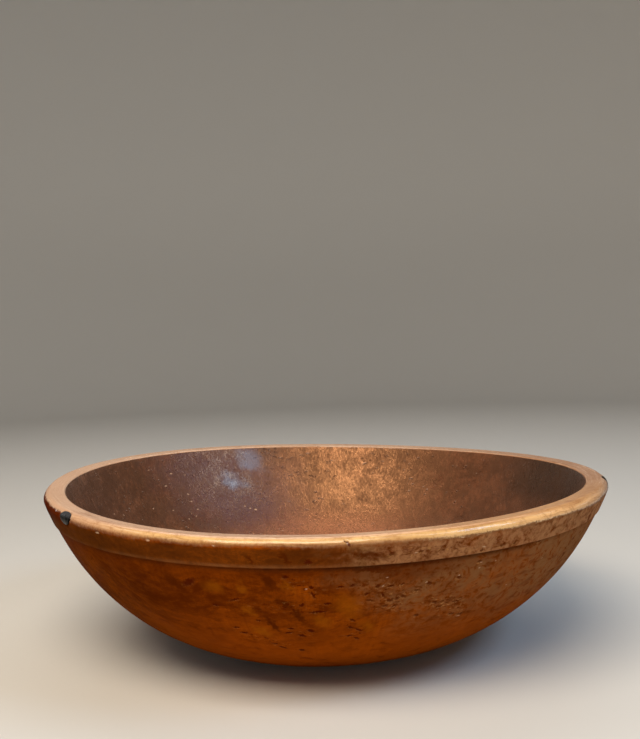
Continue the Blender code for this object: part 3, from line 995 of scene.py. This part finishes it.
def inside_maple():
    """The inside: darker, redder patina with a coppery shimmer, painted glow on the far wall and painted
    shade.
    """
    material, wire, shader = new_material("inside_maple")
    at = BowlPlace(wire)
    inputs = {
        "Dark": (*INSIDE_DARK, 1.0),
        "Light": (*INSIDE_COPPER, 1.0),
        "Glint": (*INSIDE_PAINTED_GLINT, 1.0),
        "Eyes": wire.step(wire.math("ABSOLUTE", wire.plus(at.degrees, 150.0)), 70.0, 20.0, -0.30, -0.08),
    }
    maple = wire.node("ShaderNodeGroup", inputs, node_tree=figure).outputs
    film = wire.node("ShaderNodeGroup", {"Shine": 0.19, "Dull": 0.32}, node_tree=wax).outputs

    # The tool left fine rings. Brushing, stains and scuffs mottle the wood, and under the right rim is
    # painted shade.
    turned = wire.cloud(wire.stretch(at.drum, (4.0, 4.0, 420.0)), 1.0, 2.0, 0.5)
    brush_place = wire.stretch(wire.shake(at.drum, 40.0, 0.02), (560.0, 560.0, 230.0))
    brushed = wire.cloud(brush_place, 1.0, 5.0, 0.68)
    wood = wire.mix(wire.step(brushed, 0.44, 0.64, 0.0, 0.80), maple["Color"], INSIDE_DARK)
    wood = wire.mix(wire.step(brushed, 0.50, 0.34, 0.0, 0.65), wood, INSIDE_COPPER)
    stained = wire.cloud(wire.shake(at.drum, 34.0, 0.05), 52.0, 4.0, 0.62)
    wood = wire.mix(wire.step(stained, 0.46, 0.62, 0.0, 0.70), wood, INSIDE_DARK)
    painted_shade = wire.times(wire.between(at.degrees, *SHADED_RIGHT_END), wire.step(at.past_corner, -0.065, -0.035))
    wood = wire.mix(painted_shade, wood, INSIDE_PAINTED_SHADE)
    scuffed = wire.cloud(wire.shake(at.drum, 90.0, 0.010), 560.0, 5.0, 0.70)
    wood = wire.mix(wire.step(scuffed, 0.50, 0.68, 0.0, 0.75), wood, INSIDE_DARK)

    # The lower part of the far wall is palest: a painted glow that carries the copper reflection on down.
    across = wire.node("ShaderNodeSeparateXYZ", {"Vector": wire.shake(at.block, 30.0, 0.05)}).outputs
    painted_glow = wire.times(
        wire.between(across["X"], *GLOW_ACROSS),
        wire.step(across["Y"], 0.03, 0.13),
        wire.step(at.past_corner, -0.068, -0.105),
        wire.step(scuffed, 0.62, 0.42, 0.25, 1.0),
        wire.step(brushed, 0.60, 0.38, 0.35, 1.0),
    )
    wood = wire.mix(painted_glow, wood, INSIDE_PAINTED_GLOW)

    # The painted haze, the polished spots with their painted sheen, and the nicks, each a painted glint with
    # a dark
    #     # hollow beside it.
    blotches = marks_mask(wire, INSIDE_SEEN, PAINTED_HAZE_SPOTS, 0.045, 0.0)
    wood = wire.mix(wire.times(blotches, wire.step(scuffed, 0.62, 0.40, 0.35, 1.0)), wood, INSIDE_PAINTED_HAZE)
    polished_and_sheen = marks_mask(wire, INSIDE_SEEN, POLISHED_SHEEN_SPOTS, 0.030, 0.0)
    wood = wire.mix(wire.times(polished_and_sheen, 0.7), wood, INSIDE_PAINTED_SHEEN)
    nick_glints = marks_mask(wire, INSIDE_SEEN, INSIDE_NICKS, 0.0016, 0.30)
    hollows = marks_mask(wire, INSIDE_SEEN, INSIDE_NICKS, 0.0020, 0.30, (0.0009, 0.0009))
    wood = wire.mix(wire.times(hollows, 0.9), wood, PIT_BROWN)
    wood = wire.mix(wire.times(nick_glints, 0.75), wood, NICK_GLINT)

    rough = wire.minus(film["Roughness"], wire.times(maple["Pits"], 0.10))
    for wear, low, high, most in (
        (brushed, 0.35, 0.65, 0.20),
        (scuffed, 0.36, 0.64, 0.12),
        (stained, 0.38, 0.62, 0.11),
    ):
        rough = wire.plus(rough, wire.step(wear, low, high, -0.08, most))
    relief = wire.minus(wire.times(film["Grit"], 0.20), maple["Pits"])
    for wear, height in ((brushed, 0.20), (scuffed, 0.50), (turned, 0.12)):
        relief = wire.plus(relief, wire.times(wear, height))
    bump = wire.node("ShaderNodeBump", {"Strength": 0.60, "Distance": 0.0008, "Height": relief})
    wire.feed(shader, {
        "Base Color": wood,
        "Roughness": rough,
        "Coat Weight": wire.times(polished_and_sheen, 0.75),
        "Coat Roughness": 0.34,
        "Coat IOR": 1.65,
        "Specular IOR Level": 0.92,
        "Specular Tint": (1.0, 0.50, 0.24, 1.0),
        "Normal": bump.outputs["Normal"],
    })
    return material


bowl = bpy.data.objects.new("bowl_turned", bowl_mesh())
bpy.context.scene.collection.objects.link(bowl)
bowl.data.materials.append(outside_maple())
bowl.data.materials.append(inside_maple())
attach(bowl, "root")
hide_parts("bowl")


# Each knot is the hard black heart of a branch that grew into the block. The turning cut it flush with the
# rim, and the wood around it has shrunk, so it sits in its pocket behind a hair-thin dark gap.

# Fineness of the plug, its dome and the drop at its edge, and how far down its pocket its back goes.
KNOT_RINGS = 16
KNOT_SIDES = 64
KNOT_DOME = 0.0001
KNOT_EDGE_DROP = 0.0014
KNOT_BEHIND = 0.9

# How uneven the knot's outline is, as a share of its size, and its face in metres, each with its scale.
OUTLINE_UNEVEN, OUTLINE_SCALE = 0.04, 1.7
FACE_UNEVEN, FACE_SCALE = 0.00012, 330.0


def knot_mesh(name):
    """A closed plug whose outer face follows the rim, a little domed and rounded off at its edge."""
    angle, past_corner, width, height, pocket, narrows = RIM_KNOTS[name]
    reach = np.linspace(0.0, 1.0, KNOT_RINGS + 1)[1:]
    turns = np.linspace(0.0, 2 * math.pi, KNOT_SIDES, endpoint=False)
    reach_grid, turn_grid = np.meshgrid(reach, turns, indexing="ij")
    ragged = np.empty(turn_grid.shape)
    for index, turn in np.ndenumerate(turn_grid):
        place = Vector((math.cos(turn), math.sin(turn), angle))
        ragged[index] = 1.0 - OUTLINE_UNEVEN * (0.5 + noise.noise(place * OUTLINE_SCALE))
    down = reach_grid * ragged * np.sin(turn_grid)
    across = reach_grid * ragged * np.cos(turn_grid) * (1.0 - narrows * np.clip(down, 0.0, 1.0))
    angles = angle + across * width / 2 / RIM_RADIUS
    distances = CORNER_START + past_corner + down * height / 2
    lift = KNOT_DOME - KNOT_EDGE_DROP * smooth(reach_grid, 0.90, 1.0)
    for index in np.ndindex(lift.shape):
        place = Vector(turned_point(angles[index], distances[index]))
        lift[index] += FACE_UNEVEN * noise.noise(place * FACE_SCALE)
    face = turned_point(angles, distances, lift).reshape(-1, 3)
    middle = turned_point(angle, CORNER_START + past_corner, KNOT_DOME)
    behind = turned_point(angle, CORNER_START + past_corner, -KNOT_BEHIND * pocket)
    verts = [tuple(point) for point in face] + [tuple(middle), tuple(behind)]
    faces = []
    for side in range(KNOT_SIDES):
        after = (side + 1) % KNOT_SIDES
        faces.append((after, side, len(verts) - 2))
        for ring in range(KNOT_RINGS - 1):
            row = ring * KNOT_SIDES
            next_row = row + KNOT_SIDES
            faces.append((row + after, next_row + after, next_row + side, row + side))
        last = (KNOT_RINGS - 1) * KNOT_SIDES
        faces.append((last + side, last + after, len(verts) - 1))
    mesh = bpy.data.meshes.new(name + "_plug")
    mesh.from_pydata(verts, [], faces)
    mesh.shade_smooth()
    return mesh


def knot_material(name, dark, grey, shine, grey_above):
    """Hard, dark knot wood with faint rings, a rougher painted grey sheen at its upper end, polished black
    below.
    """
    material, wire, shader = new_material(name)
    place = wire.node("ShaderNodeTexCoord").outputs["Object"]
    film = wire.node("ShaderNodeGroup", {"Shine": shine, "Dull": shine + 0.16}, node_tree=wax).outputs
    rings = wire.cloud(wire.shake(place, 260.0, 0.006), 420.0, 3.0, 0.6)
    up = wire.node("ShaderNodeSeparateXYZ", {"Vector": place}).outputs["Z"]
    # The grey at the upper end is a painted reflection of the sky; the wax is rougher there too.
    grey_sheen = wire.step(wire.plus(up, wire.times(rings, 0.004)), grey_above, grey_above + 0.005)
    wood = wire.mix(wire.times(grey_sheen, wire.step(rings, 0.30, 0.60, 0.6, 1.0)), dark, grey)
    relief = wire.plus(wire.times(rings, 0.7), wire.times(film["Grit"], 0.3))
    bump = wire.node("ShaderNodeBump", {"Strength": 0.15, "Distance": 0.0005, "Height": relief})
    wire.feed(shader, {
        "Base Color": wood,
        "Roughness": wire.plus(film["Roughness"], wire.times(grey_sheen, 0.20)),
        "Specular IOR Level": 0.03,
        "Normal": bump.outputs["Normal"],
    })
    return material


for knot_name, slot, dark, grey, shine, grey_above in (
    ("rim_knot_left", "left_knot_wood", (0.004, 0.0035, 0.003), (0.045, 0.047, 0.055), 0.10, 0.1275),
    ("rim_knot_right", "right_knot_wood", (0.010, 0.006, 0.004), (0.060, 0.040, 0.028), 0.30, 0.1290),
):
    knot = bpy.data.objects.new(knot_name + "_plug", knot_mesh(knot_name))
    bpy.context.scene.collection.objects.link(knot)
    knot.data.materials.append(knot_material(slot, dark, grey, shine, grey_above))
    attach(knot, "root")
    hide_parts(knot_name)


# The studio is a pale paper floor that sweeps up all round into a plain backdrop. Its lamps are soft: a cool
# one on the right, a warm one in front and above, low fill from the front, a small beam low behind on the
# left, and a wide one behind and above.

FLOOR_RADIUS = 2.2
SWEEP_RADIUS = 0.8
BACKDROP_TOP = 3.5
SWEEP_STEPS = 16
BACKDROP_SIDES = 96
PAPER_COLOUR = (0.60, 0.587, 0.565, 1.0)
PAPER_ROUGHNESS = 0.7

sweep = [(FLOOR_RADIUS / 2, 0.0)]
for sweep_turn in np.linspace(0.0, math.pi / 2, SWEEP_STEPS + 1):
    sweep_out = FLOOR_RADIUS + SWEEP_RADIUS * math.sin(sweep_turn)
    sweep.append((sweep_out, SWEEP_RADIUS * (1.0 - math.cos(sweep_turn))))
sweep.append((FLOOR_RADIUS + SWEEP_RADIUS, BACKDROP_TOP))
floor_verts = [(0.0, 0.0, 0.0)]
floor_faces = []
for side in range(BACKDROP_SIDES):
    turn = 2 * math.pi * side / BACKDROP_SIDES
    floor_verts.extend((radius * math.cos(turn), radius * math.sin(turn), height) for radius, height in sweep)
    here = 1 + side * len(sweep)
    beside = 1 + (side + 1) % BACKDROP_SIDES * len(sweep)
    floor_faces.append((0, here, beside))
    floor_faces.extend((here + i, here + i + 1, beside + i + 1, beside + i) for i in range(len(sweep) - 1))
floor_mesh = bpy.data.meshes.new("studio_floor")
floor_mesh.from_pydata(floor_verts, [], floor_faces)
floor_mesh.shade_smooth()
floor = bpy.data.objects.new("studio_floor", floor_mesh)
bpy.context.scene.collection.objects.link(floor)
floor_material, _, floor_shader = new_material("pale_floor")
floor_shader.inputs["Base Color"].default_value = PAPER_COLOUR
floor_shader.inputs["Roughness"].default_value = PAPER_ROUGHNESS
floor_mesh.materials.append(floor_material)

BOWL_MIDDLE = Vector((0.0, 0.0, 0.09))


def soft_lamp(name, right_of_front, elevation, distance, size, power, colour, spread=180.0):
    """A flat soft lamp that faces the bowl, placed by degrees right of the front and above the horizontal."""
    data = bpy.data.lights.new(name, "AREA")
    data.shape = "RECTANGLE"
    data.size, data.size_y = size
    data.energy = power
    data.color = colour
    data.spread = math.radians(spread)
    turn = math.radians(right_of_front)
    rise = math.radians(elevation)
    way = Vector((math.sin(turn) * math.cos(rise), -math.cos(turn) * math.cos(rise), math.sin(rise)))
    lamp = bpy.data.objects.new(name, data)
    lamp.location = BOWL_MIDDLE + way * distance
    lamp.rotation_euler = (-way).to_track_quat("-Z", "Y").to_euler()
    lamp.visible_camera = False
    bpy.context.scene.collection.objects.link(lamp)


COOL_BLUE = (0.46, 0.71, 1.0)
WARM_WHITE = (1.0, 0.86, 0.68)
SOFT_WHITE = (1.0, 0.97, 0.93)
COLD_WHITE = (0.92, 0.96, 1.0)
PLAIN_WHITE = (1.0, 0.98, 0.95)
soft_lamp("cool_lamp", 62.0, 41.0, distance=1.7, size=(0.62, 0.50), power=10.0, colour=COOL_BLUE)
soft_lamp("warm_lamp", -20.0, 52.0, distance=1.8, size=(1.45, 0.90), power=41.0, colour=WARM_WHITE)
soft_lamp("front_fill", 0.0, 7.0, distance=2.2, size=(1.80, 0.40), power=4.0, colour=SOFT_WHITE)
soft_lamp("low_left", -124.0, 9.0, distance=1.7, size=(0.07, 0.40), power=0.04, colour=COLD_WHITE, spread=24)
soft_lamp("back_light", 180.0, 58.0, distance=1.8, size=(2.00, 0.80), power=10.0, colour=PLAIN_WHITE)

AIR_COLOUR = (0.95, 0.97, 1.0, 1.0)
AIR_STRENGTH = 0.05
world = bpy.data.worlds.new("studio_air")
world.use_nodes = True
air = world.node_tree.nodes["Background"]
air.inputs["Color"].default_value = AIR_COLOUR
air.inputs["Strength"].default_value = AIR_STRENGTH
bpy.context.scene.world = world
